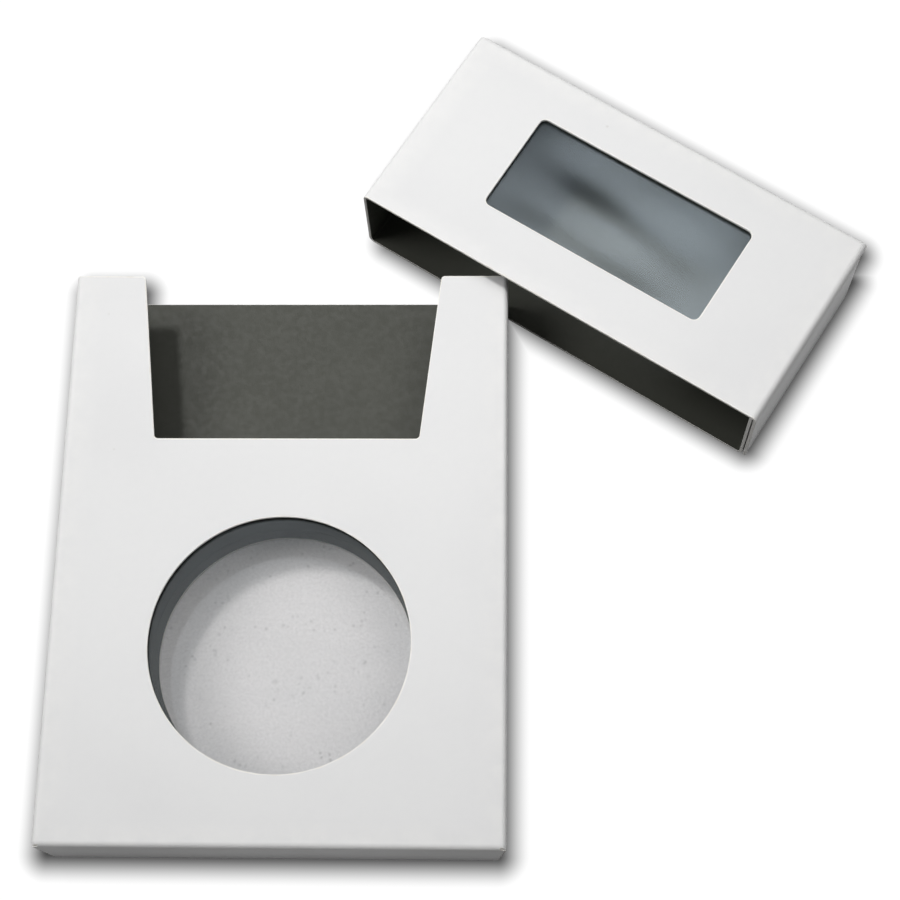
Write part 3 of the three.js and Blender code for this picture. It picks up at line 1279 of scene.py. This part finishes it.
@dataclass(frozen=True)
class ClearFilm:
    """Thin clear film: it mirrors a little and is barely tinted, with a faint mist in soft bands that is partly
    real clouding and partly a painted sheen standing in for mirrored streaks.
    """

    name: str
    tint: Colour = (0.99, 0.995, 0.995, 1)
    mirrored: Colour = (0.87, 0.95, 1.0, 1)
    # Colour of the faint mist: partly real clouding, partly a painted sheen.
    mist_and_sheen: Colour = (0.60, 0.68, 0.70, 1)
    most_mist_and_sheen: float = 0.02
    waves: float = 0.2
    wave_scale: float = 55
    wave_height: float = 0.0004
    streak_scale: float = 60
    streak_stretch: Point = (0.6, 1.8, 1)
    scuffs: float = 0.02
    scuff_scale: float = 1400
    scuff_height: float = 0.00001
    gloss: float = 0.06
    ior: float = 1.5

    def build(self) -> bpy.types.Material:
        """Lay out the material, which mirrors as much where a ray leaves the film as where it enters.

        Returns:
            The material.
        """
        nodes = NodeTree(self.name)
        place = nodes.place()
        streaks = nodes.noise(self.streak_scale, 3, nodes.place(self.streak_stretch))
        normal = nodes.bump(nodes.noise(self.wave_scale, 1, place), self.wave_height, self.waves)
        normal = nodes.bump(nodes.noise(self.scuff_scale, 2, place), self.scuff_height, self.scuffs, normal)
        # A faint diffuse mist in soft bands: partly real clouding, partly a painted sheen in place of mirrored
        # streaks.
        mist_and_sheen_mix = nodes.shader(
            "MixShader",
            Fac=nodes.remap(streaks, 0.3, 0.7, 0.0, self.most_mist_and_sheen),
            at_1=nodes.shader("BsdfTransparent", Color=self.tint),
            at_2=nodes.shader("BsdfDiffuse", Color=self.mist_and_sheen, Normal=normal),
        )
        mirror = nodes.shader("BsdfGlossy", Color=self.mirrored, Roughness=self.gloss, Normal=normal)
        leaving = nodes.add("NewGeometry").outputs["Backfacing"]
        bending = nodes.remap(leaving, 0.0, 1.0, self.ior, 1 / self.ior)
        share = nodes.add("Fresnel", IOR=bending, Normal=normal).outputs[0]
        nodes.owner.surface_render_method = "BLENDED"
        return nodes.finish(nodes.shader("MixShader", Fac=share, at_1=mist_and_sheen_mix, at_2=mirror))


@dataclass(frozen=True)
class DriedGlue:
    """A pressed line of dried carton glue."""

    name: str = "dried_glue"
    bone: Colour = (0.80, 0.75, 0.60, 1)
    amber: Colour = (0.62, 0.54, 0.36, 1)
    blotch_scale: float = 260
    blotch_share: float = 0.8
    lump_scale: float = 700
    lump_height: float = 0.00005
    roughness: Pair = (0.28, 0.5)
    ior: float = 1.47

    def build(self) -> bpy.types.Material:
        """Lay out the material.

        Returns:
            The material.
        """
        nodes = NodeTree(self.name)
        place = nodes.place()
        blotches = nodes.noise(self.blotch_scale, 4, place)
        colour = nodes.mix(nodes.remap(blotches, 0.35, 0.7, 0, self.blotch_share), self.bone, self.amber)
        roughness = nodes.remap(blotches, 0.3, 0.7, *self.roughness)
        normal = nodes.bump(nodes.noise(self.lump_scale, 3, place), self.lump_height, 0.4)
        return nodes.dress(colour, roughness, normal, self.ior)


@dataclass(frozen=True)
class FilmSizes:
    """The film behind a window, in millimetres."""

    margin: float = 4.0
    gap: float = 0.22
    thickness: float = 0.2
    sag: float = 0.2
    spacing: float = 0.6
    ridge: float = 0.4
    ridge_width: float = 2.2
    ridge_lean: float = 5.0


@dataclass(frozen=True)
class WindowFilm:
    """A clear film, held flat by its glue round the window and slightly slack inside it.

    Sides are the edges of the window or of the square round it. The inner face is the height of the panel's inner
    face above the carton's underside, and inward is -1 where that face looks down and 1 where it looks up.
    """

    sides: WindowSides
    inner_face: float
    inward: int
    place: Place
    sizes: FilmSizes

    RIDGE_START_SHARE = 0.66
    RIDGE_TURN_SHARE = 0.12
    RIDGE_FADE = 1.2
    SHARP_ANGLE = math.radians(50)

    def slack(self, x: float, y: float) -> float:
        """Find how far the film hangs away from its flat place.

        Args:
            x: place across the carton.
            y: place along the carton.

        Returns:
            Millimetres inward, none where the film is glued.
        """
        left, right, low, high = self.sides
        across = min(max((x - left) / (right - left), 0), 1)
        along = min(max((y - low) / (high - low), 0), 1)
        held = math.sin(math.pi * across) * math.sin(math.pi * along)
        waves = 0.6 + 0.25 * math.sin(7 * across + 2.5 * along) + 0.15 * math.sin(11 * along - 4 * across)
        beside_ridge = along - self.RIDGE_START_SHARE + self.RIDGE_TURN_SHARE * across
        beside_ridge *= (high - low) / self.sizes.ridge_width
        if beside_ridge < 0:
            beside_ridge /= self.sizes.ridge_lean
        ridge = math.exp(-(beside_ridge**2)) * max(1 - self.RIDGE_FADE * across, 0)
        return self.sizes.sag * held * (waves - self.sizes.ridge * ridge)

    def build(self, name: str) -> bpy.types.Object:
        """Make the film.

        Args:
            name: name of the piece.

        Returns:
            The piece, linked to the scene.
        """
        sizes = self.sizes
        left, right, low, high = self.sides
        columns = round((right - left + 2 * sizes.margin) / sizes.spacing)
        rows = round((high - low + 2 * sizes.margin) / sizes.spacing)
        xs = np.linspace(left - sizes.margin, right + sizes.margin, columns + 1)
        ys = np.linspace(low - sizes.margin, high + sizes.margin, rows + 1)
        near = self.inner_face + self.inward * sizes.gap
        far = near + self.inward * sizes.thickness
        points = []
        for level in (max(near, far), min(near, far)):
            for y in ys:
                points.extend(self.place.put(x, y, level + self.inward * self.slack(x, y)) for x in xs)
        row = columns + 1
        layer = row * (rows + 1)
        faces: list[Face] = []
        for j in range(rows):
            for i in range(columns):
                a = j * row + i
                faces.append((a, a + 1, a + row + 1, a + row))
                faces.append((a + layer, a + row + layer, a + row + 1 + layer, a + 1 + layer))
        rim = [*range(row), *range(2 * row - 1, layer, row)]
        rim += [*range(layer - 2, layer - row - 1, -1), *range(layer - 2 * row, 0, -row)]
        for a, b in zip(rim, [*rim[1:], rim[0]]):
            faces.append((b, a, a + layer, b + layer))
        mesh = self.place.mesh(name, points, faces)
        mesh.shade_smooth()
        mesh.set_sharp_from_angle(angle=self.SHARP_ANGLE)
        return add_object(name, mesh)


@dataclass(frozen=True)
class CartonFinishes:
    """What one carton is dressed in: its board's three finishes, its films, its seam glue and its film glue."""

    board: tuple[bpy.types.Material, bpy.types.Material, bpy.types.Material]
    film: bpy.types.Material
    glue: bpy.types.Material
    film_glue: bpy.types.Material


@dataclass
class SlabCarton:
    """What the base and the cap share: a folded board, films and glue that ride on one body."""

    sizes: CartonSizes
    film: FilmSizes
    body: str
    bows: tuple[Bow, ...]

    def set_piece(
        self, piece: bpy.types.Object, slot: str, nodes: Iterable[str], *finishes: bpy.types.Material
    ) -> None:
        """Dress a piece and let it ride on the carton's body in place of some nodes.

        Args:
            piece: the piece.
            slot: material slot of the record that its finish stands for; not used.
            nodes: names of the nodes that it replaces.
            finishes: its materials, in the order of its material slots.
        """
        for material in finishes:
            piece.data.materials.append(material)
        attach(piece, self.body)
        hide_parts(*nodes)
        log.info("%s rides on %s with %d faces", piece.name, self.body, len(piece.data.polygons))

    def set_board(self, blank: Blank, place: Place, finishes: CartonFinishes) -> bpy.types.Object:
        """Fold the blank and dress it.

        Args:
            blank: the die-cut board.
            place: where the carton lies.
            finishes: the carton's finishes.

        Returns:
            The folded board.
        """
        board = FoldedCarton(blank, place, self.bows).build(f"{self.body}_board")
        nodes = [f"{self.body}_{part}" for part in BOARD_PARTS]
        self.set_piece(board, "white_board", nodes, *finishes.board)
        return board

    def set_film(self, film: WindowFilm, name: str, node: str, finishes: CartonFinishes) -> None:
        """Make a window's film and dress it."""
        self.set_piece(film.build(name), "clear_film", [node], finishes.film)

    def set_glue(self, place: Place, finishes: CartonFinishes, film_lines: Iterable[str]) -> None:
        """Press the seam's glue line, and give the end's and the films' glue their finishes.

        Args:
            place: where the carton lies.
            finishes: the carton's finishes.
            film_lines: nodes of the glue round the films.
        """
        seam = SeamGlue().build(f"{self.body}_seam_glue_line", self.sizes, place)
        self.set_piece(seam, "glue", [f"{self.body}_seam_glue"], finishes.glue)
        redress(f"{self.body}_end_glue", finishes.glue)
        for line in film_lines:
            redress(line, finishes.film_glue)


@dataclass
class SlabBase(SlabCarton):
    """The long base: its folded board, the films behind its round windows, and its glue."""

    sizes: CartonSizes = CartonSizes(width=62.0, depth=81.3, thickness=10.5, mirrored=False)
    film: FilmSizes = FilmSizes(sag=0.06)
    body: str = "base"
    bows: tuple[Bow, ...] = (
        Bow(LegName.FRONT, 0.1, -0.1),
        Bow(LegName.BACK, 0.0, 0.0, 0.02),
        Bow(LegName.FOLD_WALL, -0.05, -0.12, 0.02),
        Bow(LegName.SEAM_FLAP, -0.02, -0.2, 0.02),
    )
    notch: FingerNotch = FingerNotch()
    window: RoundWindow = RoundWindow()

    SHADOW_PAST_SIDE = 2.7
    SHADOW_PAST_EARS = 5.2
    SHADOW_SHORT_OF_NOTCH = 0.2
    EAR_SHADOW_FOOT = 50.0
    EAR_SHADOW_SIDE = 22.5

    def build(self, finishes: CartonFinishes) -> list["CloseShadow"]:
        """Fold the base, set its films and dress them.

        Args:
            finishes: the base's finishes.

        Returns:
            The shadows close round the base and round each side of its notch, grown by what they hide.
        """
        blank = BaseBlank(self.sizes, self.notch, self.window)
        place = Place.of_base(self.sizes)
        board = self.set_board(blank, place, finishes)
        inner_faces = {"front": self.sizes.thickness - self.sizes.board, "back": self.sizes.board}
        for panel, inner_face in inner_faces.items():
            inward = -1 if panel == "front" else 1
            film = WindowFilm(blank.window_sides(), inner_face, inward, place, self.film)
            self.set_film(film, f"base_{panel}_film", f"base_{panel}_window_film", finishes)
        self.set_glue(place, finishes, ("base_front_film_glue", "base_back_film_glue"))
        half, side, foot = self.sizes.width / 2, self.EAR_SHADOW_SIDE, self.EAR_SHADOW_FOOT
        left, mouth = -half - self.SHADOW_PAST_SIDE, self.sizes.depth
        ears = mouth + self.SHADOW_PAST_EARS
        spans = (
            ((left, 0.0), (half, mouth - self.SHADOW_SHORT_OF_NOTCH)),
            ((left, foot), (-side, ears)),
            ((side, foot), (half, ears)),
        )
        return [CloseShadow(board, place, low, high) for low, high in spans]


def redress(node: str, material: bpy.types.Material) -> None:
    """Give a node that keeps its shape a finish of its own."""
    for holder in frame["nodes"][node].material_slots:
        holder.material = material
    log.info("%s keeps its shape and takes %s", node, material.name)


@dataclass
class SlabCap(SlabCarton):
    """The short cap: its folded board, its window's film and its glue."""

    sizes: CartonSizes = CartonSizes(width=65.0, depth=31.8, thickness=14.3, mirrored=True, crease_radius=1.0)
    film: FilmSizes = FilmSizes()
    body: str = "cap"
    bows: tuple[Bow, ...] = (
        Bow(LegName.FRONT, -0.04, -0.12),
        Bow(LegName.BACK, 0.0, 0.0, 0.0),
        Bow(LegName.FOLD_WALL, -0.03, -0.08, 0.02),
        Bow(LegName.SEAM_FLAP, -0.02, -0.3, 0.02),
    )
    window: CapWindow = CapWindow()

    SHADOW_PAST_END = 3.0
    HIDDEN_LOW = (-4.2, -7.2)
    HIDDEN_HIGH = (-1.2, -7.0)

    def build(self, finishes: CartonFinishes) -> list["CloseShadow"]:
        """Fold the cap, set its film and dress both.

        Args:
            finishes: the cap's finishes.

        Returns:
            The shadows close round the cap's foot and round what its height hides from the camera.
        """
        blank = CapBlank(self.sizes, self.window)
        place = Place.of_cap(self.sizes)
        board = self.set_board(blank, place, finishes)
        inner_face = self.sizes.thickness - self.sizes.board
        film = WindowFilm(blank.window_sides(), inner_face, -1, place, self.film)
        self.set_film(film, "cap_film", "cap_window_film", finishes)
        self.set_glue(place, finishes, ("cap_film_glue",))
        half, depth = self.sizes.width / 2, self.sizes.depth
        hidden_low = (self.HIDDEN_LOW[0] - half, self.HIDDEN_LOW[1])
        hidden_high = (self.HIDDEN_HIGH[0] + half, self.HIDDEN_HIGH[1] + depth)
        spans = (((-half, -self.SHADOW_PAST_END), (half, depth)), (hidden_low, hidden_high))
        return [CloseShadow(board, place, low, high) for low, high in spans]


def point_at(lamp: bpy.types.Object, place: Sequence[float], aim: Sequence[float]) -> None:
    """Set a lamp in its place and turn it to its aim.

    Args:
        lamp: the lamp.
        place: where it hangs.
        aim: the point that it shines at.
    """
    lamp.location = place
    way = Vector(aim) - Vector(place)
    lamp.rotation_euler = way.to_track_quat("-Z", "Y").to_euler()
    log.info("%s hung", lamp.name)


@dataclass(frozen=True)
class KeyLamp:
    """A big soft lamp to the left."""

    place: Point = (-1.50, 0.12, 1.84)
    aim: Point = (0.0, 0.0, 0.0)
    size: float = 1.15
    power: float = 18.9

    def build(self) -> None:
        """Hang the lamp."""
        data = bpy.data.lights.new("key_lamp", "AREA")
        data.shape = "DISK"
        data.size = self.size
        data.energy = self.power
        point_at(add_object("key_lamp", data), self.place, self.aim)


@dataclass(frozen=True)
class BeamLamp:
    """A lamp to the left behind the box, with a beam that fades towards the base's closed end."""

    place: Point = (-0.46, 0.53, 1.30)
    aim: Point = (0.0, 0.042, 0.0)
    radius: float = 0.12
    power: float = 54.5
    beam_half_width: float = 0.142

    def build(self) -> None:
        """Hang the lamp."""
        data = bpy.data.lights.new("beam_lamp", "SPOT")
        data.energy = self.power
        data.shadow_soft_size = self.radius
        distance = (Vector(self.aim) - Vector(self.place)).length
        data.spot_size = 2 * math.atan(self.beam_half_width / distance)
        data.spot_blend = 1.0
        point_at(add_object("beam_lamp", data), self.place, self.aim)


@dataclass(frozen=True)
class SkyPatch:
    """A bright patch in the sky: which way it lies, how strong it is, and the angles at which it fades."""

    way: Point
    strength: float
    inner: float
    outer: float

    def level(self, nodes: NodeTree, way: Socket) -> Socket:
        """Lay out how strong the patch is.

        Args:
            nodes: the world's nodes.
            way: the direction looked in.

        Returns:
            The patch's strength that way, 0 clear of it.
        """
        dot = nodes.vector("DOT_PRODUCT", way, Vector(self.way).normalized(), "Value")
        clear, full = (math.cos(math.radians(angle)) for angle in (self.outer, self.inner))
        smooth = {"interpolation_type": "SMOOTHSTEP"}
        return nodes.add("MapRange", smooth, at_0=dot, at_1=clear, at_2=full, at_4=self.strength).outputs[0]


@dataclass(frozen=True)
class Sky:
    """Soft light from all round, with bright patches that the films mirror."""

    strength: float = 0.10
    patches: tuple[SkyPatch, ...] = (
        SkyPatch((0.31, 0.30, 1.0), 1.9, 6.0, 21.0),
        SkyPatch((0.02, 0.43, 1.0), 2.2, 1.5, 7.5),
        SkyPatch((-0.12, 0.26, 1.0), 0.75, 5.0, 11.0),
        SkyPatch((0.65, -0.05, 1.0), 1.25, 8.0, 24.0),
    )
    shown: float = 1.0

    def build(self) -> None:
        """Light the scene, and show plain white behind it."""
        nodes = NodeTree("sky", NodeOwner.WORLD)
        way = nodes.add("TexCoord").outputs["Generated"]
        level = self.strength
        for patch in self.patches:
            level = nodes.math("ADD", patch.level(nodes, way), level)
        seen = nodes.add("LightPath").outputs["Is Camera Ray"]
        strength = nodes.add("Mix", at_0=seen, at_2=level, at_3=self.shown).outputs[0]
        bpy.context.scene.world = nodes.finish(nodes.shader("Background", Color=(1, 1, 1, 1), Strength=strength))
        log.info("sky set")


@dataclass(frozen=True)
class CloseShadow:
    """The soft shadow close round one carton: a rectangle in the carton's own millimetres, blurred."""

    piece: bpy.types.Object
    place: Place
    low: FlatPoint
    high: FlatPoint
    fall: FlatPoint = (0.72, -1.25)
    inner: float = -2.0
    outer: float = 2.8

    def level(self, nodes: NodeTree) -> Socket:
        """Lay out how light the floor is by this carton, and let the shadow ride on its piece.

        Args:
            nodes: the floor's nodes.

        Returns:
            From 0 in the deepest shadow to 1 clear of it.
        """
        origin = self.place.put(0, 0, 0)
        rides = nodes.add("TexCoord", {"object": self.piece}).outputs["Object"]
        start = (origin.x + self.fall[0] * MM, origin.y + self.fall[1] * MM, 0)
        from_start = nodes.vector("SUBTRACT", rides, start)
        beyond = []
        for axis, low, high in zip(((1, 0, 0), (0, 1, 0)), self.low, self.high):
            way = (self.place.put(*axis) - origin).normalized()
            run = nodes.math("MULTIPLY", nodes.vector("DOT_PRODUCT", from_start, way, "Value"), 1 / MM)
            away = nodes.math("ABSOLUTE", nodes.math("SUBTRACT", run, (low + high) / 2))
            beyond.append(nodes.math("MAXIMUM", nodes.math("SUBTRACT", away, (high - low) / 2 + self.inner), 0.0))
        squares = [nodes.math("MULTIPLY", value, value) for value in beyond]
        distance = nodes.math("SQRT", nodes.math("ADD", *squares))
        span = self.outer - self.inner
        step = nodes.add("MapRange", {"interpolation_type": "SMOOTHSTEP"}, at_0=distance, at_1=0.0, at_2=span)
        return step.outputs["Result"]


@dataclass(frozen=True)
class Floor:
    """The white sheet under the box: plain paper to the light, and to the camera white with a close shadow."""

    half: float = 3.0
    gap: float = 0.00003
    paper: float = 0.12
    lit_share: float = 0.06
    deepest: float = 0.06
    grain_scale: float = 2600
    speck_scale: float = 900
    patch_scale: float = 240
    well_paper: float = 0.90
    # Strength of the painted glow on the paper under the round window.
    well_painted_glow: float = 0.022
    grain: float = 0.07
    specks: float = 0.2
    well_tone: Point = (0.997, 1.0, 0.998)
    well_shares: Pair = (0.35, 0.4)

    def build(self, shadows: Sequence[CloseShadow]) -> None:
        """Lay the sheet.

        Args:
            shadows: the close shadows of what lies on it, the base's first.
        """
        half = self.half
        mesh = bpy.data.meshes.new("floor")
        corners = [(-half, -half), (half, -half), (half, half), (-half, half)]
        mesh.from_pydata([(x, y, -self.gap) for x, y in corners], [], [(0, 1, 2, 3)])
        floor = add_object("floor", mesh)
        floor.data.materials.append(self.material(shadows))
        floor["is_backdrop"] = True
        log.info("floor laid")

    def material(self, shadows: Sequence[CloseShadow]) -> bpy.types.Material:
        """Lay out the sheet's material.

        The camera, mirrors and clear film see it white but for the close shadows. Inside the round window it is
        grained paper with a painted glow added, and to every other ray it is plain paper.

        Args:
            shadows: the close shadows of what lies on it, the base's first.

        Returns:
            The material.
        """
        nodes = NodeTree("floor")
        path = nodes.add("LightPath")
        seen = path.outputs["Is Camera Ray"]
        for ray in ("Is Glossy Ray", "Is Transmission Ray"):
            seen = nodes.math("MAXIMUM", seen, path.outputs[ray])
        shade = None
        for shadow in shadows:
            level = shadow.level(nodes)
            shade = level if shade is None else nodes.math("MINIMUM", shade, level)
        shade = nodes.remap(shade, 0.0, 1.0, self.deepest, 1.0)
        lit = nodes.grey(nodes.math("MULTIPLY", shade, self.lit_share))
        glow = nodes.shader("Emission", Color=(1, 1, 1, 1), Strength=shade)
        white = nodes.shader("AddShader", at_0=glow, at_1=nodes.shader("BsdfDiffuse", Color=lit))
        grained = nodes.shader("BsdfDiffuse", Color=self.paper_colour(nodes))
        # A painted glow that brightens the paper seen through the round window.
        lift = nodes.shader("Emission", Color=(1, 1, 1, 1), Strength=self.well_painted_glow)
        well = nodes.shader("AddShader", at_0=grained, at_1=lift)
        outside = self.outside_window(nodes, shadows[0].piece)
        view = nodes.shader("MixShader", Fac=outside, at_1=well, at_2=white)
        plain = nodes.shader("BsdfDiffuse", Color=(self.paper, self.paper, self.paper, 1))
        return nodes.finish(nodes.shader("MixShader", Fac=seen, at_1=plain, at_2=view))

    def paper_colour(self, nodes: NodeTree) -> Socket:
        """Plain paper with a fine grain.

        Args:
            nodes: the material's nodes.

        Returns:
            The colour.
        """
        grain = nodes.noise(self.grain_scale, 4)
        dark, light = self.well_paper - self.grain, self.well_paper + self.grain
        level = nodes.remap(grain, 0.3, 0.7, dark, light)
        cells = nodes.add("TexVoronoi", Vector=nodes.place(), Scale=self.speck_scale, Randomness=1)
        speck = nodes.remap(cells.outputs["Distance"], 0.1, 0.3, self.specks, 0)
        chosen = nodes.remap(nodes.noise(self.patch_scale, 1), 0.5, 0.58, 0, 1)
        level = nodes.math("SUBTRACT", level, nodes.math("MULTIPLY", speck, chosen))
        return nodes.vector("MULTIPLY", nodes.grey(level), self.well_tone)

    def outside_window(self, nodes: NodeTree, base: bpy.types.Object) -> Socket:
        """Tell the floor outside the round window, 1, from the floor inside it, 0.

        Args:
            nodes: the material's nodes.
            base: the base's board, on which the window rides.

        Returns:
            The value.
        """
        window, sizes = RoundWindow(), SlabBase().sizes
        middle = Place.of_base(sizes).put(window.x, window.y, 0)
        coordinates = nodes.add("TexCoord", {"object": base}).outputs["Object"]
        away = nodes.vector("DISTANCE", coordinates, (middle.x, middle.y, 0), "Value")
        near, far = (share * sizes.width * MM for share in self.well_shares)
        return nodes.remap(away, near, far, 0.0, 1.0)


@dataclass(frozen=True)
class Studio:
    """A white sheet, a key lamp to the left, a beam from behind and a soft sky."""

    floor: Floor = Floor()
    key: KeyLamp = KeyLamp()
    beam: BeamLamp = BeamLamp()
    sky: Sky = Sky()

    def build(self, shadows: Sequence[CloseShadow]) -> None:
        """Lay the sheet with its close shadows, hang the lamps and set the sky.

        Args:
            shadows: the close shadows of what lies on the sheet, the base's first.
        """
        self.floor.build(shadows)
        self.key.build()
        self.beam.build()
        self.sky.build()


@dataclass(frozen=True)
class PhotoCamera:
    """The photograph's camera: high in front of the box, tipped a fifth of a right angle off straight down."""

    place: Point = (0.00597, -0.09912, 0.26700)
    turn: Point = (0.3527, 0.0285, 0.0125)
    lens: float = 78.74
    sensor: float = 36.0

    def build(self) -> None:
        """Make the camera and hand it to the scene."""
        data = bpy.data.cameras.new("photo_camera")
        data.lens = self.lens
        data.sensor_width = self.sensor
        data.clip_start = 0.01
        camera = add_object("photo_camera", data)
        camera.location = self.place
        camera.rotation_euler = Euler(self.turn, "XYZ")
        bpy.context.scene.camera = camera
        log.info("camera set")


def numbers(bounds: tuple[Vector, Vector]) -> list[list[float]]:
    """Plain lists of a box's two corners."""
    return [list(map(float, corner)) for corner in bounds]


def main() -> None:
    """Build the cartons, the studio and the camera."""
    logging.basicConfig(level=logging.INFO, format="%(name)s: %(message)s")
    cad_box = numbers(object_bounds())
    bpy.context.scene.view_settings.view_transform = "Standard"
    board = (CoatedBoard().build(), PrintedInside().build(), CutEdge().build())
    glue = DriedGlue().build()
    clear_glue = DriedGlue("clear_glue", (0.055, 0.058, 0.049, 1), (0.047, 0.049, 0.040, 1)).build()
    taut = ClearFilm("taut_film", tint=(0.994, 0.989, 0.988, 1), waves=0.05).build()
    slack = ClearFilm("slack_film", mirrored=(0.79, 0.91, 1.0, 1), mist_and_sheen=(0.56, 0.67, 0.73, 1)).build()
    shadows = SlabBase().build(CartonFinishes(board, taut, glue, clear_glue))
    shadows += SlabCap().build(CartonFinishes(board, slack, glue, glue))
    Studio().build(shadows)
    PhotoCamera().build()
    {"cad": cad_box, "visual": numbers(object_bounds())}


if __name__ == "__main__":
    main()
